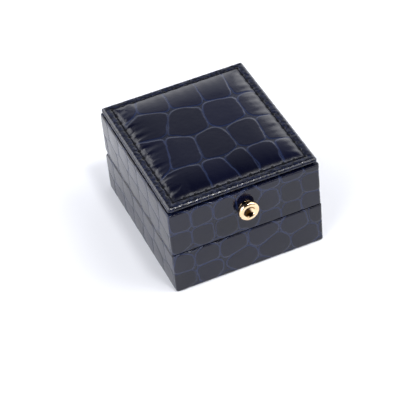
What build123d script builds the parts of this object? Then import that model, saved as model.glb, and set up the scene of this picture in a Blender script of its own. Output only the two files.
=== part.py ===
from build123d import *
from math import asin, cos, sin, sqrt
import os

# Pendant box: a hinged box of wood board wrapped in embossed leatherette, with a padded and stitched panel
# on the lid, a push-button latch in the front wall and a barrel hinge let in between the rims at the rear.
# Millimetres. The origin is the centre of the underside, +Z is up and the button faces -Y.

# Outer sizes
width = 53.8
depth = 60.4
base_height = 16.2
lid_height = 17.2
lid_step = 0.15
corner_radius = 0.25
rim_gap = 0.3

# Leatherette skin, its turned-in edges and the paper sheet below
skin = 0.6
edge_break = 0.35
turn_in_base = 12.0
turn_in_lid = 4.6
turn_under = 8.0
underside_thickness = 0.3
underside_margin = 1.6

# Wood board
lid_wall = 2.4
lid_top = 2.4
base_floor = 2.0
inner_corner = 1.2
neck_clearance = 0.3

# Padded panel on the lid
panel_inset = 0.45
panel_corner = 0.95
panel_height = 2.35
panel_undercut = 1.2
panel_border = 3.4
foam_height = 0.7
foam_crown = 0.95
foam_edge_break = 0.5
puff_edge_round = 1.3

# Neck and linings
liner = 1.6
neck_height = 4.0
lid_liner_gap = 0.6
lid_liner = 1.8

# Pendant pad and what carries it
pad_play = 0.3
riser_wall = 1.6
riser_height = 7.2
pad_board_thickness = 1.2
pad_height = 4.0
pad_crown = 1.55
pad_edge_round = 1.4
pad_corner = 2.6
pad_draw_in = 0.5
slit_width = 1.2
slit_length = 6.0
slit_spacing = 17.0

# Lid cushion
cushion_card = 1.2
cushion_margin = 1.0
cushion_height = 3.2
cushion_crown = 1.9
cushion_edge_break = 1.2
cushion_corner = 2.6
cushion_draw_in = 0.6

# Barrel hinge, which runs between the inner corners of the base
hinge_end_play = 0.25
knuckle_count = 5
knuckle_gap = 0.2
barrel_radius = 1.1
barrel_clearance = 0.25
barrel_inset = 0.8
pin_radius = 0.5
pin_running_clearance = 0.06
pin_fixed_clearance = 0.02
leaf = 0.5
leaf_drop_base = 7.0
leaf_drop_lid = 7.4
hinge_screw_spacing = 26.0
hinge_screw_count = 2
hinge_screw_drop_base = 4.6
hinge_screw_drop_lid = 5.4

# Small countersunk screws
screw_head_radius = 0.95
screw_head_depth = 0.45
screw_shank_radius = 0.45
screw_length = 2.0

# Push button
button_rise = 10.3
button_reach = 3.15
head_radius = 3.6
head_length = 1.65
head_break = 0.2
dish_radius = 3.15
dish_floor_radius = 1.95
dish_depth = 0.85
dome_height = 0.5
barrel_shaft_radius = 2.2
shaft_clearance = 0.06
ferrule_wall = 0.6
ferrule_flange_radius = 3.7
ferrule_flange = 0.5
stem_radius = 1.2
collar_radius = 3.0
collar_thickness = 0.6
collar_room = 0.5
button_travel = 0.9

# Spring latch
latch_gap = 0.3
latch_thickness = 0.4
latch_width = 6.0
latch_foot = 8.0
latch_bend = 0.6
stem_gap = 0.05
nose_width = 4.0
nose_reach = 0.75
nose_height = 1.6
nose_gap = 0.3
strike_thickness = 0.6
strike_width = 8.0
strike_window_width = 5.0
strike_window_height = 2.2
strike_bridge = 1.0
strike_bottom = 6.0
strike_notch_play = 1.0
strike_screw_spacing = 4.4
strike_screw_rise = 2.4
latch_screw_spacing = 3.0

# Levels and faces that follow from the sizes above
half_x = width / 2
half_y = depth / 2
parting = base_height
base_rim = parting - rim_gap / 2
lid_rim = parting + rim_gap / 2
lid_body_top = base_height + lid_height
lid_half_x = half_x - lid_step
lid_half_y = half_y - lid_step
lid_wood_x = lid_half_x - skin
lid_wood_y = lid_half_y - skin
lid_inner_x = lid_wood_x - lid_wall
lid_inner_y = lid_wood_y - lid_wall
neck_x = lid_inner_x - skin - neck_clearance
neck_y = lid_inner_y - skin - neck_clearance
base_wood_x = half_x - skin
base_wood_y = half_y - skin
base_inner_x = neck_x + skin
base_inner_y = neck_y + skin
wrap_bottom = underside_thickness
wood_bottom = wrap_bottom + skin
floor_top = wood_bottom + base_floor
wood_rim_base = base_rim - skin
wood_rim_lid = lid_rim + skin
lid_wood_top = lid_body_top - skin
ceiling = lid_wood_top - lid_top
neck_top = parting + neck_height
lid_liner_bottom = neck_top + lid_liner_gap
well_x = neck_x - liner
well_y = neck_y - liner
hinge_y = half_y - barrel_inset
hinge_length = 2 * (base_inner_x - inner_corner - skin - hinge_end_play)
groove_radius = barrel_radius + barrel_clearance


def block(reach_x, reach_y, low, high, radius):
    """Upright block with rounded corners, centred on the origin in plan."""
    plan = RectangleRounded(2 * reach_x, 2 * reach_y, radius)
    return Pos(0, 0, low) * extrude(plan, high - low)


def slab(low, high):
    """Plain box between two opposite corners."""
    size = [b - a for a, b in zip(low, high)]
    middle = [(a + b) / 2 for a, b in zip(low, high)]
    return Pos(*middle) * Box(*size)


def bar(y, z, radius, start_x, end_x):
    """Round bar along X."""
    return Pos((start_x + end_x) / 2, y, z) * Rot(0, 90, 0) * Cylinder(radius, end_x - start_x)


def undercut_block(reach_x, reach_y, low, high, corner, undercut):
    """Upright block whose lower edge is drawn in all round, as the edge of a covered card is."""
    foot = Pos(0, 0, low) * RectangleRounded(2 * (reach_x - undercut), 2 * (reach_y - undercut), corner / 2)
    waist = Pos(0, 0, low + undercut) * RectangleRounded(2 * reach_x, 2 * reach_y, corner)
    return loft([foot, waist], ruled=True) + block(reach_x, reach_y, low + undercut, high, corner)


def top_edges(solid):
    return solid.faces().sort_by(Axis.Z)[-1].edges()


def bottom_edges(solid):
    return solid.faces().sort_by(Axis.Z)[0].edges()


def countersunk_screw():
    """Screw with its head's flat at the origin and its shank along +Z."""
    head = Pos(0, 0, screw_head_depth / 2) * Cone(screw_head_radius, screw_shank_radius, screw_head_depth)
    shank_length = screw_length - screw_head_depth
    shank = Pos(0, 0, screw_head_depth + shank_length / 2) * Cylinder(screw_shank_radius, shank_length)
    return head + shank


def crown_radius(reach_x, reach_y, crown):
    """Radius of a ball that drops by crown from the middle of a rectangle to its corners."""
    return (reach_x**2 + reach_y**2 + crown**2) / (2 * crown)


def crown_ball(radius, top):
    """Large ball whose highest point is at top, with its poles out along X, away from the crown."""
    return Pos(0, 0, top - radius) * Rot(0, 90, 0) * Sphere(radius)


def arc_over(start, end, rise):
    """Arc between two points on a level line, bulging by rise towards the left of the way."""
    dx = end[0] - start[0]
    dy = end[1] - start[1]
    length = sqrt(dx * dx + dy * dy)
    middle = ((start[0] + end[0]) / 2 - dy / length * rise, (start[1] + end[1]) / 2 + dx / length * rise)
    return ThreePointArc(start, middle, end)


def pillow(reach_x, reach_y, height, crown, corner, draw_in):
    """Upholstered pad on z = 0: sides drawn in between its corners, and a crowned top."""
    corners = [(-reach_x, -reach_y), (reach_x, -reach_y), (reach_x, reach_y), (-reach_x, reach_y)]
    with BuildSketch() as plan:
        with BuildLine():
            for start, end in zip(corners, corners[1:] + corners[:1]):
                arc_over(start, end, draw_in)
        make_face()
        fillet(plan.vertices(), corner)
    body = extrude(plan.sketch, height)
    return body & crown_ball(crown_radius(reach_x, reach_y, crown), height)


def one(shape):
    """The single solid of a boolean result."""
    solids = shape.solids()
    return solids[0] if len(solids) == 1 else Compound(children=solids)


nodes = {}


# Groove along the rear edges of both rims, in which the barrel turns

wood_groove = bar(hinge_y, parting, groove_radius + skin, -width, width)
skin_groove = bar(hinge_y, parting, groove_radius, -width, width)


# Base: wood shell

base_wood = block(base_wood_x, base_wood_y, wood_bottom, wood_rim_base, corner_radius)
base_hollow = block(base_inner_x, base_inner_y, floor_top, base_height, inner_corner + skin)
base_wood = base_wood - base_hollow - wood_groove


# Base: leatherette, from under the floor, up the walls, over the rim and down inside

base_outer = block(half_x, half_y, wrap_bottom, base_rim, corner_radius + skin)
base_outer = chamfer(bottom_edges(base_outer) + top_edges(base_outer), edge_break)
base_solid_wood = block(base_wood_x, base_wood_y, wood_bottom, wood_rim_base, corner_radius)
base_skin = base_outer - skin_groove - (base_solid_wood - base_hollow - wood_groove)
base_skin = base_skin - block(neck_x, neck_y, floor_top, base_height, inner_corner)
turn_in_end = base_rim - turn_in_base
base_skin = base_skin - block(base_inner_x, base_inner_y, floor_top, turn_in_end, inner_corner + skin)
window_x = half_x - turn_under
window_y = half_y - turn_under
base_skin = base_skin - block(window_x, window_y, 0, floor_top, corner_radius)

underside_x = half_x - underside_margin
underside_y = half_y - underside_margin
nodes["underside_sheet"] = block(underside_x, underside_y, 0, underside_thickness, corner_radius)


# Lid: wood shell

lid_wood = block(lid_wood_x, lid_wood_y, wood_rim_lid, lid_wood_top, corner_radius)
lid_hollow = block(lid_inner_x, lid_inner_y, base_height, ceiling, inner_corner + skin)
lid_wood = lid_wood - lid_hollow - wood_groove


# Lid: leatherette, from the top board's edge down the walls, round the rim and up inside

lid_outer = block(lid_half_x, lid_half_y, lid_rim, lid_body_top, corner_radius + skin)
lid_outer = chamfer(bottom_edges(lid_outer) + top_edges(lid_outer), edge_break)
lid_solid_wood = block(lid_wood_x, lid_wood_y, wood_rim_lid, lid_wood_top, corner_radius)
lid_skin = lid_outer - skin_groove - (lid_solid_wood - lid_hollow - wood_groove)
lid_skin = lid_skin - block(lid_inner_x - skin, lid_inner_y - skin, base_height, ceiling, inner_corner)
lid_turn_end = lid_rim + turn_in_lid
lid_skin = lid_skin - block(lid_inner_x, lid_inner_y, lid_turn_end, ceiling, inner_corner + skin)
lid_skin = lid_skin - block(
    lid_half_x - turn_under, lid_half_y - turn_under, ceiling, lid_body_top + skin, corner_radius
)


# Padded panel: card, foam and the stitched cover that wraps them

panel_x = lid_half_x - panel_inset
panel_y = lid_half_y - panel_inset
panel_low = lid_body_top
board_low = panel_low + skin
border_top = panel_low + panel_height
board_top = border_top - skin
foam_x = panel_x - panel_border
foam_y = panel_y - panel_border

board_undercut = panel_undercut - skin * (2 - sqrt(2))
panel_board = undercut_block(
    panel_x - skin, panel_y - skin, board_low, board_top, panel_corner - skin, board_undercut
)


def foam_form(grow):
    """The crowned foam, or the space its cover takes when grown by the skin."""
    ball_radius = crown_radius(foam_x, foam_y, foam_crown)
    height = foam_height + foam_crown + grow
    body = block(foam_x + grow, foam_y + grow, 0, height, panel_corner + grow)
    body = body & crown_ball(ball_radius + grow, height)
    return Pos(0, 0, board_top) * body


panel_foam = foam_form(0)
panel_foam = chamfer(top_edges(panel_foam), foam_edge_break)
panel_puff = foam_form(skin)
panel_puff = fillet(top_edges(panel_puff), puff_edge_round)
panel_outer = undercut_block(panel_x, panel_y, panel_low, border_top, panel_corner, panel_undercut)
panel_outer = chamfer(top_edges(panel_outer), edge_break)
panel_cover = panel_outer + panel_puff - panel_board - panel_foam
panel_window = block(panel_x - turn_under, panel_y - turn_under, panel_low - skin, board_low, panel_corner)
nodes["panel_board"] = panel_board
nodes["panel_foam"] = panel_foam
nodes["panel_cover"] = panel_cover - panel_window


# Hinge: rolled knuckles round one pin, and leaves that fold down inside each rear wall

pitch = hinge_length / knuckle_count
hinge_start = -hinge_length / 2


def knuckle_spans(first):
    """Start and end along X of every second knuckle."""
    return [
        (hinge_start + k * pitch + knuckle_gap / 2, hinge_start + (k + 1) * pitch - knuckle_gap / 2)
        for k in range(first, knuckle_count, 2)
    ]


def hinge_leaf(spans, other_spans, plate_low, flange_outer_y, flange_low, flange_high, bore):
    """Leaf between the rims, flange on the inside of the rear wall, and this leaf's knuckles."""
    end_x = hinge_length / 2
    plate = slab((-end_x, flange_outer_y - leaf, plate_low), (end_x, hinge_y, plate_low + leaf))
    flange = slab((-end_x, flange_outer_y - leaf, flange_low), (end_x, flange_outer_y, flange_high))
    shape = plate + flange
    for start, end in other_spans:
        room = bar(hinge_y, parting, groove_radius, start - knuckle_gap, end + knuckle_gap)
        shape = shape - room
    for start, end in spans:
        shape = shape + bar(hinge_y, parting, barrel_radius, start, end)
    return shape - bar(hinge_y, parting, bore, -width, width)


base_spans = knuckle_spans(0)
lid_spans = knuckle_spans(1)
base_plate_low = wood_rim_base
lid_plate_low = wood_rim_lid - leaf
base_leaf = hinge_leaf(
    base_spans, lid_spans, base_plate_low, base_inner_y,
    wood_rim_base - leaf_drop_base, wood_rim_base + leaf, pin_radius + pin_fixed_clearance,
)
lid_leaf = hinge_leaf(
    lid_spans, base_spans, lid_plate_low, lid_inner_y,
    lid_plate_low, lid_plate_low + leaf + leaf_drop_lid, pin_radius + pin_running_clearance,
)
nodes["hinge_pin"] = bar(hinge_y, parting, pin_radius, -hinge_length / 2, hinge_length / 2)


def screw_row(y, z):
    """Screws through a flange into the rear wall, heads facing the inside."""
    span = (hinge_screw_count - 1) / 2
    return [
        Pos((k - span) * hinge_screw_spacing, y, z) * Rot(-90, 0, 0) * countersunk_screw()
        for k in range(hinge_screw_count)
    ]


base_screws = screw_row(base_inner_y - leaf, wood_rim_base - hinge_screw_drop_base)
lid_screws = screw_row(lid_inner_y - leaf, wood_rim_lid + hinge_screw_drop_lid)

# The skin is left off under the leaves, so that the metal lies on the wood

leaf_end = hinge_length / 2
base_skin = base_skin - slab(
    (-leaf_end, neck_y - skin, wood_rim_base - leaf_drop_base), (leaf_end, hinge_y, base_height)
)
lid_skin = lid_skin - slab(
    (-leaf_end, lid_inner_y - 2 * skin, base_height), (leaf_end, hinge_y, lid_turn_end + leaf_drop_lid)
)
for base_screw, lid_screw in zip(base_screws, lid_screws):
    base_leaf = base_leaf - base_screw
    base_wood = base_wood - base_screw
    lid_leaf = lid_leaf - lid_screw
    lid_wood = lid_wood - lid_screw
nodes["hinge_leaf_base"] = base_leaf
nodes["hinge_leaf_lid"] = lid_leaf
nodes["hinge_screws_base"] = Compound(children=base_screws)
nodes["hinge_screws_lid"] = Compound(children=lid_screws)


# Button: bush through the front wall, button, and the collar on its stem

button_height = parting + button_rise
front_face = -lid_half_y
wall_inside = -lid_inner_y
ferrule_bore = barrel_shaft_radius + shaft_clearance
ferrule_radius = ferrule_bore + ferrule_wall
strip_outer_y = -neck_y + strike_thickness + latch_gap


def on_button_axis(profile):
    """Revolve a profile of radius against distance out from the lid's front face."""
    return Pos(0, front_face, button_height) * Rot(90, 0, 0) * revolve(Plane.XZ * profile, Axis.Z)


def ring_profile(inner, outer, low, high):
    """Rectangle between two radii and two levels."""
    return Pos((inner + outer) / 2, (low + high) / 2) * Rectangle(outer - inner, high - low)


wall_depth = front_face - wall_inside
ferrule_tube = ring_profile(ferrule_bore, ferrule_radius, wall_depth, ferrule_flange)
ferrule_lip = ring_profile(ferrule_bore, ferrule_flange_radius, 0, ferrule_flange)
ferrule = on_button_axis(ferrule_tube + ferrule_lip)
flange_rim = ferrule.edges().filter_by(GeomType.CIRCLE).group_by(SortBy.RADIUS)[-1].sort_by(Axis.Y)[0]
nodes["button_ferrule"] = chamfer(flange_rim, ferrule_flange / 3)

ferrule_hole = on_button_axis(ring_profile(0, ferrule_radius, wall_depth - skin, ferrule_flange))
collar_sweep = ring_profile(
    0, collar_radius + collar_room, wall_depth - collar_thickness - button_travel - collar_room, wall_depth
)
lid_wood = lid_wood - ferrule_hole - on_button_axis(collar_sweep)
lid_skin = lid_skin - ferrule_hole

stem_end = front_face - strip_outer_y + stem_gap
head_back = button_reach - head_length
dish_floor = button_reach - dish_depth
dome_ball = (dish_floor_radius**2 + dome_height**2) / (2 * dome_height)
half_turn = asin(dish_floor_radius / dome_ball) / 2
dome_middle = (dome_ball * sin(half_turn), dish_floor + dome_height - dome_ball * (1 - cos(half_turn)))
with BuildSketch() as button_profile:
    with BuildLine():
        Polyline(
            (0, dish_floor + dome_height),
            (0, stem_end),
            (stem_radius, stem_end),
            (stem_radius, wall_depth),
            (barrel_shaft_radius, wall_depth),
            (barrel_shaft_radius, head_back),
            (head_radius, head_back),
            (head_radius, button_reach),
            (dish_radius, button_reach),
            (dish_floor_radius, dish_floor),
        )
        ThreePointArc((dish_floor_radius, dish_floor), dome_middle, (0, dish_floor + dome_height))
    make_face()
    front_corner = button_profile.vertices().group_by(Axis.X)[-1].sort_by(Axis.Y)[-1]
    chamfer(front_corner, head_break)
nodes["push_button"] = on_button_axis(button_profile.sketch)
collar_end = wall_depth - collar_thickness
nodes["button_collar"] = on_button_axis(ring_profile(stem_radius, collar_radius, collar_end, wall_depth))


# Latch: a sprung strip under the lid's top, with a nose that catches in the strike's window

strip_inner_y = strip_outer_y + latch_thickness
window_top = neck_top + strike_bridge / 2
nose_top = window_top - nose_gap
foot_top = ceiling + latch_thickness
with BuildSketch(Plane.YZ) as strip_profile:
    with BuildLine():
        Polyline(
            (strip_outer_y, foot_top),
            (strip_outer_y + latch_foot, foot_top),
            (strip_outer_y + latch_foot, ceiling),
            (strip_inner_y, ceiling),
            (strip_inner_y, nose_top - nose_height),
            (strip_outer_y, nose_top - nose_height),
            close=True,
        )
    make_face()
    heel = strip_profile.vertices().sort_by_distance((strip_outer_y, foot_top, 0))[0]
    fillet(heel, latch_bend)
with BuildSketch(Plane.YZ) as nose_profile:
    with BuildLine():
        Polyline(
            (strip_inner_y, nose_top),
            (strip_outer_y - nose_reach, nose_top),
            (strip_outer_y - nose_reach, nose_top - nose_gap),
            (strip_outer_y, nose_top - nose_height),
            (strip_inner_y, nose_top - nose_height),
            close=True,
        )
    make_face()
latch_strip = extrude(strip_profile.sketch, latch_width / 2, both=True)
latch_strip = latch_strip + extrude(nose_profile.sketch, nose_width / 2, both=True)
foot_screw_y = strip_outer_y + latch_foot * 0.65
latch_screw_solids = [
    Pos(side * latch_screw_spacing / 2, foot_screw_y, ceiling) * countersunk_screw() for side in (-1, 1)
]
foot_pocket = slab(
    (-latch_width / 2, strip_outer_y, ceiling), (latch_width / 2, strip_outer_y + latch_foot, foot_top)
)
lid_wood = lid_wood - foot_pocket
for screw in latch_screw_solids:
    latch_strip = latch_strip - screw
    lid_wood = lid_wood - screw
nodes["latch_spring"] = latch_strip
nodes["latch_screws"] = Compound(children=latch_screw_solids)


# Strike: a tab with a window, screwed to the inside of the base's front wall

plate_top = window_top + strike_bridge
plate_outer_y = -neck_y
plate_inner_y = plate_outer_y + strike_thickness
strike = slab(
    (-strike_width / 2, plate_outer_y, strike_bottom), (strike_width / 2, plate_inner_y, plate_top)
)
strike = fillet(strike.edges().filter_by(Axis.Y).group_by(Axis.Z)[-1], strike_bridge)
window_bottom = window_top - strike_window_height
strike = strike - slab(
    (-strike_window_width / 2, plate_outer_y - skin, window_bottom),
    (strike_window_width / 2, plate_inner_y + skin, window_top),
)
strike_screw_solids = [
    Pos(side * strike_screw_spacing / 2, plate_inner_y, strike_bottom + strike_screw_rise)
    * Rot(90, 0, 0)
    * countersunk_screw()
    for side in (-1, 1)
]
for screw in strike_screw_solids:
    strike = strike - screw
    base_skin = base_skin - screw
    base_wood = base_wood - screw
nodes["strike_plate"] = strike
nodes["strike_screws"] = Compound(children=strike_screw_solids)


# Base linings: four covered strips that stand above the rim as the neck

neck = block(neck_x, neck_y, floor_top, neck_top, inner_corner)


def liner_strip(low, high, region, notch=None):
    """One covered strip cut from a ring of lining."""
    strip = region & slab(low, high)
    return strip - notch if notch else strip


neck_ring = neck - slab((-well_x, -well_y, 0), (well_x, well_y, lid_body_top))
notch_half = strike_width / 2 + strike_notch_play / 2
strike_notch = slab(
    (-notch_half, -depth, strike_bottom - strike_notch_play / 2), (notch_half, 0, lid_body_top)
)
nodes["base_liner_front"] = liner_strip(
    (-width, -depth, 0), (width, -well_y, lid_body_top), neck_ring, strike_notch
)
nodes["base_liner_rear"] = liner_strip((-width, well_y, 0), (width, depth, lid_body_top), neck_ring)
nodes["base_liner_left"] = liner_strip((-width, -well_y, 0), (-well_x, well_y, lid_body_top), neck_ring)
nodes["base_liner_right"] = liner_strip((well_x, -well_y, 0), (width, well_y, lid_body_top), neck_ring)


# Lid linings

lid_ring_x = lid_inner_x - skin
lid_ring_y = lid_inner_y - skin
lid_well_x = lid_ring_x - lid_liner
lid_well_y = lid_ring_y - lid_liner
lid_ring = block(lid_ring_x, lid_ring_y, lid_liner_bottom, ceiling, inner_corner)
lid_ring = lid_ring - slab((-lid_well_x, -lid_well_y, 0), (lid_well_x, lid_well_y, lid_body_top))
for side, name in ((-1, "lid_liner_front_left"), (1, "lid_liner_front_right")):
    ends = sorted((side * notch_half, side * width))
    nodes[name] = liner_strip((ends[0], -depth, 0), (ends[1], -lid_well_y, lid_body_top), lid_ring)
nodes["lid_liner_rear"] = liner_strip((-width, lid_well_y, 0), (width, depth, lid_body_top), lid_ring)
nodes["lid_liner_left"] = liner_strip(
    (-width, -lid_well_y, 0), (-lid_well_x, lid_well_y, lid_body_top), lid_ring
)
nodes["lid_liner_right"] = liner_strip(
    (lid_well_x, -lid_well_y, 0), (width, lid_well_y, lid_body_top), lid_ring
)


# Pendant pad on its card and riser, with two slits for the chain

riser_x = well_x - pad_play
riser_y = well_y - pad_play
board_z = floor_top + riser_height
pad_z = board_z + pad_board_thickness
slits = [
    slab(
        (side * slit_spacing / 2 - slit_width / 2, riser_y - slit_length, board_z - riser_wall),
        (side * slit_spacing / 2 + slit_width / 2, depth, lid_body_top),
    )
    for side in (-1, 1)
]
pad_riser = slab((-riser_x, -riser_y, floor_top), (riser_x, riser_y, board_z))
pad_riser = pad_riser - slab(
    (-riser_x + riser_wall, -riser_y + riser_wall, 0), (riser_x - riser_wall, riser_y - riser_wall, board_z)
)
pad_board = slab((-riser_x, -riser_y, board_z), (riser_x, riser_y, pad_z))
pendant_pad = pillow(riser_x, riser_y, pad_height, pad_crown, pad_corner, pad_draw_in)
pendant_pad = Pos(0, 0, pad_z) * fillet(top_edges(pendant_pad), pad_edge_round)
for slit in slits:
    pad_riser = pad_riser - slit
    pad_board = pad_board - slit
    pendant_pad = pendant_pad - slit
nodes["pad_riser"] = pad_riser
nodes["pad_board"] = pad_board
nodes["pendant_pad"] = pendant_pad


# Lid cushion on its card

card_x = lid_well_x - pad_play
card_y = lid_well_y - pad_play
card_low = ceiling - cushion_card
nodes["lid_cushion_card"] = slab((-card_x, -card_y, card_low), (card_x, card_y, ceiling))
cushion_x = card_x - cushion_margin
cushion_y = card_y - cushion_margin
cushion = pillow(cushion_x, cushion_y, cushion_height, cushion_crown, cushion_corner, cushion_draw_in)
cushion = chamfer(top_edges(cushion), cushion_edge_break)
nodes["lid_cushion"] = Pos(0, 0, card_low) * Rot(180, 0, 0) * cushion

nodes["base_carcass"] = base_wood
nodes["base_wrap"] = base_skin
nodes["lid_carcass"] = lid_wood
nodes["lid_wrap"] = lid_skin


os.makedirs("parts", exist_ok=True)
for name, shape in nodes.items():
    export_step(one(shape), f"parts/{name}.step")
    print(name, len(shape.solids()), round(shape.volume, 2))
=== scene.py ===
# %% [markdown]
# # A pendant box in crocodile-embossed leatherette
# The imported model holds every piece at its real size. This lesson dresses it: each step first says what the
# piece or finish is on the real box, then how it is made here, and why that way was chosen.

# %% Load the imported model
import math
import random
import bmesh
import bpy
import numpy as np
from mathutils import Matrix, Vector


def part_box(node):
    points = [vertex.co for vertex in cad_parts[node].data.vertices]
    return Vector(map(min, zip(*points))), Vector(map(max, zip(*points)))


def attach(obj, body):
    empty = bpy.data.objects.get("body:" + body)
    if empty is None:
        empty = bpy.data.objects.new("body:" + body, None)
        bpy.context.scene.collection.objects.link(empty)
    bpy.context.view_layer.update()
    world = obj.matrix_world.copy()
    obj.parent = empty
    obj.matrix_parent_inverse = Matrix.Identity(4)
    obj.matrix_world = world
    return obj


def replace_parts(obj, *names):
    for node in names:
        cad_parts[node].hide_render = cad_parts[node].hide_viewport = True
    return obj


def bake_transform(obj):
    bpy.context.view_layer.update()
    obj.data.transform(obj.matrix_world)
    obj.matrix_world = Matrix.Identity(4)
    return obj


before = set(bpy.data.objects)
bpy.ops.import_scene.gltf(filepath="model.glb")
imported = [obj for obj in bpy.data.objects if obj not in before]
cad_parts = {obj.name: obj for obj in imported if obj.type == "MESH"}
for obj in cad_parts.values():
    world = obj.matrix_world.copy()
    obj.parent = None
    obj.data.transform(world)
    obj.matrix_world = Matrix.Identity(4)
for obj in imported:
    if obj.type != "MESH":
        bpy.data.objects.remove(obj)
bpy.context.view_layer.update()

# %% [markdown]
# ## Helpers
# Everything is measured in millimetres and turned to metres in one place. A colour is a hex value as a
# designer would read it off a swatch, and one function turns it to the linear light that shaders need.
# One function adds a node, with its settings and its links, to any kind of tree. A texture's Scale counts
# its repeats in a metre, so 0.9 / MM means 0.9 repeats in a millimetre.

# %% Units, colours and nodes
MM = 0.001


def swatch(text):
    """An sRGB hex colour as linear red, green, blue and alpha."""
    parts = [int(text[i:i + 2], 16) / 255 for i in (1, 3, 5)]
    linear = [c / 12.92 if c <= 0.04045 else ((c + 0.055) / 1.055) ** 2.4 for c in parts]
    return (*linear, 1.0)


def set_stops(scale, stops):
    """Give a colour scale its stops, each a place and a swatch."""
    while len(scale.elements) < len(stops):
        scale.elements.new(0.5)
    for mark, (place, colour) in zip(scale.elements, stops):
        mark.position = place
        mark.color = swatch(colour)


def feed(node, *values, **named):
    """Set up a node: values go to its inputs in order, capital names are inputs, small names are settings."""
    for name, value in named.items():
        if name == "stops":
            set_stops(node.color_ramp, value)
        elif name.islower():
            setattr(node, name, value)
    fed = list(zip([socket for socket in node.inputs if socket.enabled], values))
    fed += [(node.inputs[name.replace("_", " ")], value) for name, value in named.items() if not name.islower()]
    for socket, value in fed:
        if isinstance(value, bpy.types.Node):
            value = next(output for output in value.outputs if output.enabled)
        if isinstance(value, bpy.types.NodeSocket):
            node.id_data.links.new(value, socket)
        else:
            socket.default_value = value
    return node


def add(tree, kind, *values, **named):
    """Add a node, such as "Math ADD", and feed it. A node given as a value stands for its first output."""
    kind, _, operation = kind.partition(" ")
    families = (tree.bl_idname.removesuffix("Tree"), "ShaderNode", "FunctionNode", "Node")
    made = tree.nodes.new(next(family + kind for family in families if hasattr(bpy.types, family + kind)))
    if operation:
        made.operation = operation
    return feed(made, *values, **named)


def box_mm(name):
    """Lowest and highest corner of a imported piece, in millimetres."""
    low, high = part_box(name)
    return low / MM, high / MM


# %% [markdown]
# Meshes are written as plain lists of points in millimetres and faces between them. The faces are turned to
# point outwards once the piece is closed. A modifier's or a node tree's result is kept as the plain mesh.

# %% Meshes and finished pieces
def stand(name, data):
    """An object in the scene that shows this data."""
    made = bpy.data.objects.new(name, data)
    bpy.context.scene.collection.objects.link(made)
    return made


def new_piece(name, points, faces, material=None):
    """A closed, smooth-shaded mesh from points in millimetres, its faces turned outwards."""
    mesh = bpy.data.meshes.new(name)
    mesh.from_pydata((np.asarray(points, float) * MM).tolist(), [], [list(map(int, f)) for f in faces])
    form = bmesh.new()
    form.from_mesh(mesh)
    bmesh.ops.recalc_face_normals(form, faces=form.faces)
    form.to_mesh(mesh)
    form.free()
    mesh.shade_smooth()
    if material:
        mesh.materials.append(material)
    return stand(name, mesh)


def piece_of(name, form):
    """A BMesh form as a piece, the form let go."""
    mesh = bpy.data.meshes.new(name)
    form.to_mesh(mesh)
    form.free()
    return stand(name, mesh)


def point_values(piece, name, kind, values):
    """Store one number, or one vector, on every point of a piece."""
    layer = piece.data.attributes.new(name, kind, "POINT")
    field = "vector" if kind == "FLOAT_VECTOR" else "value"
    layer.data.foreach_set(field, np.asarray(values, np.float32).ravel())


def places(mesh):
    """A mesh's points as rows of x, y and z."""
    found = np.zeros(3 * len(mesh.vertices))
    mesh.vertices.foreach_get("co", found)
    return found.reshape(-1, 3)


def put(piece, spots):
    """Move a piece's points to these places in millimetres."""
    piece.data.vertices.foreach_set("co", (spots * MM).ravel())


def keep_result(piece, step):
    """Keep what a modifier makes of a piece as its plain mesh, and take the modifier away."""
    seen = piece.evaluated_get(bpy.context.evaluated_depsgraph_get())
    piece.data = bpy.data.meshes.new_from_object(seen)
    piece.modifiers.remove(step)
    return piece


def grow(piece, tree, **inputs):
    """Run a Geometry Nodes tree on a piece with named inputs, and keep the result."""
    step = piece.modifiers.new(tree.name, "NODES")
    step.node_group = tree
    for socket in tree.interface.items_tree:
        key = socket.name.replace(" ", "_")
        if socket.in_out == "INPUT" and key in inputs:
            step[socket.identifier] = inputs[key]
    piece.update_tag()
    return keep_result(piece, step)


def open_tree(name, *sizes, **others):
    """A Geometry Nodes tree with its inputs, and their sockets inside it."""
    tree = bpy.data.node_groups.new(name, "GeometryNodeTree")
    for label, kind in {"Geometry": "Geometry", **dict.fromkeys(sizes, "Float"), **others}.items():
        tree.interface.new_socket(label, in_out="INPUT", socket_type="NodeSocket" + kind)
    tree.interface.new_socket("Geometry", in_out="OUTPUT", socket_type="NodeSocketGeometry")
    return tree, add(tree, "GroupInput").outputs


def close_tree(tree, form, finish):
    """End a tree with real geometry, because the export drops instances, in its finish."""
    dressed = add(tree, "SetMaterial", add(tree, "RealizeInstances", form), Material=finish)
    add(tree, "GroupOutput", dressed)
    return tree


# %% [markdown]
# ## Camera, floor and light
# The box was photographed from above its front left corner with a long lens, on a white sweep. Lines of the
# box give the camera's place, and a slight roll. The main light is a high softbox on the right, so the shadow
# falls to the left. A white sweep reaches only so high round a box: above it the studio is dim, and that dim
# part is what the glossy top mirrors, while the walls mirror the white floor. Towards the photographer the
# room is dark, so the panel's front edge is black. A window behind on the left shows in the panel's rear
# slope, a bounce on the left in the left wall, a card in its right slope, and a small lamp overhead leaves
# sparks on the front edge.

# %% Camera
CAMERA_AZIMUTH, CAMERA_ELEVATION, CAMERA_ROLL = (math.radians(a) for a in (-19.536, 41.686, -6.133))
CAMERA_TARGET = Vector((-8.495, -10.531, 17.667)) * MM
CAMERA_DISTANCE = 584.0 * MM
FOCAL_SHARE = 1756.27 / 400

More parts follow.
